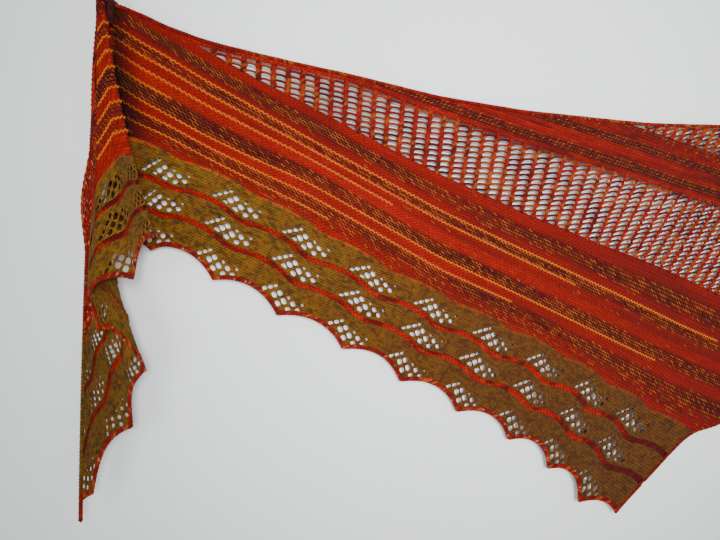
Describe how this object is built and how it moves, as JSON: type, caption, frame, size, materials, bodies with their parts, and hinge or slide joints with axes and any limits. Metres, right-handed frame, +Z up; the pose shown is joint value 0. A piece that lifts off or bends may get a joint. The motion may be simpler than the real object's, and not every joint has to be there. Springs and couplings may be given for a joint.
{
  "type": "triangle shawl on wall hooks",
  "caption": "Asymmetric knitted triangle shawl with a scalloped lace border, hung by its long top edge from two plain wall hooks, one end falling in folds.",
  "frame": {"origin": "middle of the flat back of the left wall hook's plate, where it meets the wall", "axes": "+Z up, +X along the wall towards the second hook, +Y into the wall; the cloth hangs on the -Y side"},
  "size_m": [1.26, 0.0708, 0.5662],
  "materials": {
    "body": "striped garter-stitch wool",
    "net": "dropped-stitch wool net",
    "lace": "olive lace-knit wool",
    "ridge": "raised garter ridge",
    "edge": "bound-off and selvedge stitches",
    "hook": "white paint"
  },
  "bodies": {
    "root": {"flat_bind_off_edge": "edge", "flat_lace_band_1": "lace", "flat_lace_band_2": "lace", "flat_lace_band_3": "lace", "flat_ridge_1": "ridge", "flat_ridge_2": "ridge", "folded_bind_off_edge": "edge", "folded_lace_band_1": "lace", "folded_lace_band_2": "lace", "folded_lace_band_3": "lace", "folded_ridge_1": "ridge", "folded_ridge_2": "ridge", "folded_body": "body", "lower_body": "body", "net_band_1": "net", "middle_body": "body", "net_band_2": "net", "start_corner": "body", "top_selvedge": "edge", "gathered_neck": "body", "left_wall_hook": "hook", "right_wall_hook": "hook"}
  },
  "joints": []
}
